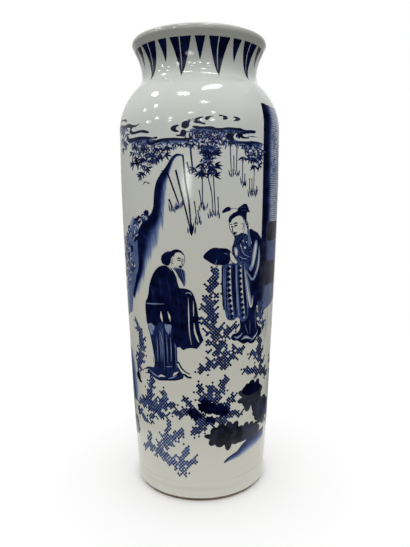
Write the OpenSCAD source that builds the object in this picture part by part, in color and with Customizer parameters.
// Sleeve-shaped porcelain vase, thrown in sections, luted together with slip and glazed.
// Every piece is a body of revolution about Z. The standing face lies on z = 0, in millimetres.

/* [Overall form] */
// Height from the standing face to the top of the lip
height = 460; // [400:1:520]
// Radius of the mouth at the widest point of the lip
mouth_r = 68; // [63:0.5:78]
// Radius of the neck at its waist
neck_r = 58.6; // [52:0.2:62]
// Largest radius of the body
belly_r = 82.5; // [76:0.5:95]
// Radius of the wall just above the foot bevel
base_r = 70; // [67:0.2:75]
// Radius of the standing face's outer edge
foot_r = 68; // [60:0.2:69]

/* [Heights] */
// Height of the foot bevel, where the outer glaze begins
bevel_h = 4; // [2:0.5:8]
// Rise from the neck's waist to the top of the lip
flare_h = 34.5; // [30:0.5:44]
// Rise from where the shoulder starts to turn inward to the neck's waist
shoulder_h = 55; // [46:0.5:58]
// Rise from the largest radius of the wall to where the shoulder starts to turn
belly_h = 42; // [20:1:70]

/* [Curves] */
// Bow of the body wall: 1 is a straight cone, 2 is a round bow
wall_bow = 1.4; // [1:0.05:2]
// Radius of the hollow between the shoulder and the neck
neck_hollow_r = 16; // [14:1:32]
// Radius of the hollow between the neck and the lip
flare_r = 44; // [16:1:50]
// Radius of the outer round of the lip
lip_out_r = 4.4; // [2.4:0.2:5]
// Smallest radius left for the inner round of the lip
lip_in_least_r = 1.2; // [1:0.1:2]

/* [Walls] */
// Thickness from glaze face to glaze face above the belly
wall = 7.4; // [5:0.2:9]
// Thickness from glaze face to glaze face at the foot
foot_wall = 9; // [7:0.5:12]
// Thickness of the floor
floor_t = 9; // [6:0.5:14]
// Radius between the floor and the wall inside
floor_fillet = 14; // [6:1:20]
// Thickness of a glaze coat
glaze = 0.4; // [0.2:0.05:0.8]

/* [Foot] */
// Width of the flat standing face
foot_ring_w = 9; // [6:0.5:14]
// Depth of the recess inside the foot ring
recess = 5; // [3:0.5:8]
// How far the recess narrows towards its ceiling
recess_draft = 1.5; // [0.5:0.5:3]
// Bare strip between the standing face and the iron dressing
bare_strip = 0.6; // [0.3:0.1:1.5]

/* [Luted joints] */
// Height of the joint between the base section and the lower body
base_joint_z = 64; // [56:1:100]
// Height of the joint between the lower and the upper body
body_joint_z = 205; // [150:1:240]
// Drop from where the shoulder starts to turn to the joint under it
shoulder_joint_drop = 14; // [8:1:18]
// Thickness of the slip in a joint
slip = 0.8; // [0.4:0.1:1.5]
// Bevel of the joint faces on the body, in degrees
joint_bevel = 20; // [0:5:25]

/* [Hidden] */
wall_steps = 28;
arc_steps = 14;
$fn = 180;

biscuit_colour = "#e6dfd0";
slip_colour = "#f1ece0";
glaze_colour = "#dde1dd";
iron_colour = "#5b3d20";

// Heights above the standing face, worked down from the lip
neck_z = height - flare_h;
shoulder_z = neck_z - shoulder_h;
belly_z = shoulder_z - belly_h;
shoulder_joint_z = shoulder_z - shoulder_joint_drop;

// Shoulder and neck hollow: two arcs that meet tangentially and start and end upright
shoulder_turn = 2 * atan((belly_r - neck_r) / shoulder_h);
shoulder_r = shoulder_h / sin(shoulder_turn) - neck_hollow_r;

// Lip: an outer round, reached from the neck by an arc and a tangent straight, and a smaller inner
// round that starts at its top and ends on the inner face
function lip_centre(r) = [mouth_r - r, height - r];
function flare_fit(r) =
    let (out = lip_centre(r)[0] - neck_r, rise = lip_centre(r)[1] - neck_z)
    min(flare_r, (out ^ 2 + rise ^ 2 - r ^ 2) / (2 * (out + r)));
function flare_centre(r) = [neck_r + flare_fit(r), neck_z];
function flare_slope(r) =
    let (way = lip_centre(r) - flare_centre(r))
    atan2(way[1], -way[0]) - acos(min(1, (flare_fit(r) + r) / norm(way)));

// The outer round takes what the wall leaves beside the smallest inner round
full_round_slope = flare_slope(wall / 2);
lip_r = min(
    lip_out_r,
    (wall - lip_in_least_r * (1 - sin(full_round_slope))) / (1 + sin(full_round_slope))
);
lip_c = lip_centre(lip_r);
flare_fit_r = flare_fit(lip_r);
flare_c = flare_centre(lip_r);
flare_turn = flare_slope(lip_r);
lip_in_r = (wall - lip_r * (1 + sin(flare_turn))) / (1 - sin(flare_turn));
lip_in_c = [lip_c[0], height - lip_in_r];

// Floor and foot
floor_z = recess + floor_t;
ring_in_r = foot_r - foot_ring_w;
recess_r = ring_in_r - recess_draft;

// Joints as [radius, height, slope] of a line across the wall
base_joint = [wall_r(base_joint_z) - foot_wall / 2, base_joint_z, joint_bevel];
body_joint = [wall_r(body_joint_z) - wall / 2, body_joint_z, joint_bevel];
shoulder_joint = [belly_r - wall / 2, shoulder_joint_z, joint_bevel];
// The neck is luted where shoulder and hollow meet, square to the wall
neck_joint = [
    belly_r - shoulder_r * (1 - cos(shoulder_turn)),
    shoulder_z + shoulder_r * sin(shoulder_turn),
    shoulder_turn,
];
cut_reach = belly_r + wall;

function reversed(points) = [for (i = [len(points) - 1 : -1 : 0]) points[i]];

// Points on an arc about a centre, from one angle to another
function arc(centre, r, from, to) = [
    for (i = [0 : arc_steps])
        let (a = from + (to - from) * i / arc_steps)
        centre + r * [cos(a), sin(a)]
];

// How far down the bowed wall a height lies: 1 at the foot bevel, 0 from the belly up
function down_wall(z) = max(0, (belly_z - z) / (belly_z - bevel_h));
function wall_r(z) = belly_r - (belly_r - base_r) * down_wall(z) ^ wall_bow;
function wall_t(z) = wall + (foot_wall - wall) * down_wall(z);
function bevel_r(z) = foot_r + (base_r - foot_r) * z / bevel_h;

// Heights along the bowed wall from a start up to the belly
function wall_heights(start) = [
    for (i = [0 : wall_steps]) start + (belly_z - start) * i / wall_steps
];

// Shoulder, neck hollow and flare, moved inward by depth
function upper_line(depth) = concat(
    arc([belly_r - shoulder_r, shoulder_z], shoulder_r - depth, 0, shoulder_turn),
    arc([neck_r + neck_hollow_r, neck_z], neck_hollow_r + depth, 180 + shoulder_turn, 180),
    arc(flare_c, flare_fit_r + depth, 180, 180 - flare_turn)
);

// Outside line from the foot bevel to the top of the lip, moved inward by depth
function outside_line(depth) = concat(
    [for (z = wall_heights(bevel_h)) [wall_r(z) - depth, z]],
    upper_line(depth),
    arc(lip_c, lip_r - depth, -flare_turn, 90)
);

// Inside line from the top of the lip to the axis at the floor, moved into the wall by depth
function inside_line(depth) =
    let (
        fillet_z = floor_z + floor_fillet,
        fillet_c = [wall_r(fillet_z) - wall_t(fillet_z) - floor_fillet, fillet_z]
    )
    concat(
        arc(lip_in_c, lip_in_r - depth, 90, 180 - flare_turn),
        reversed(upper_line(wall - depth)),
        reversed([for (z = wall_heights(fillet_z)) [wall_r(z) - wall_t(z) + depth, z]]),
        arc(fillet_c, floor_fillet + depth, 0, -90),
        [[0, floor_z - depth]]
    );

// Whole clay wall, as a half section
module clay_section() {
    polygon(concat(
        [[0, recess], [recess_r, recess], [ring_in_r, 0], [foot_r - glaze, 0]],
        outside_line(glaze),
        inside_line(glaze)
    ));
}

// Height of a joint's line at a radius, lifted square to the line
function joint_z(joint, r, lift) =
    joint[1] + (r - joint[0]) * tan(joint[2]) + lift / cos(joint[2]);

// The clay between two cutting lines, each given as [joint, lift]
module clay_between(low, high) {
    rotate_extrude()
        intersection() {
            clay_section();
            polygon([
                [0, joint_z(low[0], 0, low[1])],
                [cut_reach, joint_z(low[0], cut_reach, low[1])],
                [cut_reach, joint_z(high[0], cut_reach, high[1])],
                [0, joint_z(high[0], 0, high[1])],
            ]);
        }
}

// Clay sections

module base_section() {
    below = [0, -1, 0];
    color(biscuit_colour) clay_between([below, 0], [base_joint, -slip / 2]);
}

module lower_body() {
    color(biscuit_colour) clay_between([base_joint, slip / 2], [body_joint, -slip / 2]);
}

module upper_body() {
    color(biscuit_colour) clay_between([body_joint, slip / 2], [shoulder_joint, -slip / 2]);
}

module shoulder() {
    color(biscuit_colour) clay_between([shoulder_joint, slip / 2], [neck_joint, -slip / 2]);
}

module neck() {
    above = [0, height + 1, 0];
    color(biscuit_colour) clay_between([neck_joint, slip / 2], [above, 0]);
}

// Rings of slip that hold the sections together

module lute(joint) {
    color(slip_colour) clay_between([joint, -slip / 2], [joint, slip / 2]);
}

// Glaze coats and foot dressing

module outer_glaze() {
    color(glaze_colour)
        rotate_extrude()
            polygon(concat(outside_line(0), reversed(outside_line(glaze))));
}

module inner_glaze() {
    color(glaze_colour)
        rotate_extrude()
            polygon(concat(inside_line(0), reversed(inside_line(glaze))));
}

module base_glaze() {
    color(glaze_colour)
        translate([0, 0, recess - glaze])
            cylinder(h = glaze, r = recess_r);
}

module foot_dressing() {
    color(iron_colour)
        rotate_extrude()
            polygon([
                [bevel_r(bare_strip) - glaze, bare_strip],
                [bevel_r(bare_strip), bare_strip],
                [base_r, bevel_h],
                [base_r - glaze, bevel_h],
            ]);
}

base_section();
lower_body();
upper_body();
shoulder();
neck();
lute(base_joint);  // base_lute
lute(body_joint);  // body_lute
lute(shoulder_joint);  // shoulder_lute
lute(neck_joint);  // neck_lute
outer_glaze();
inner_glaze();
base_glaze();
foot_dressing();
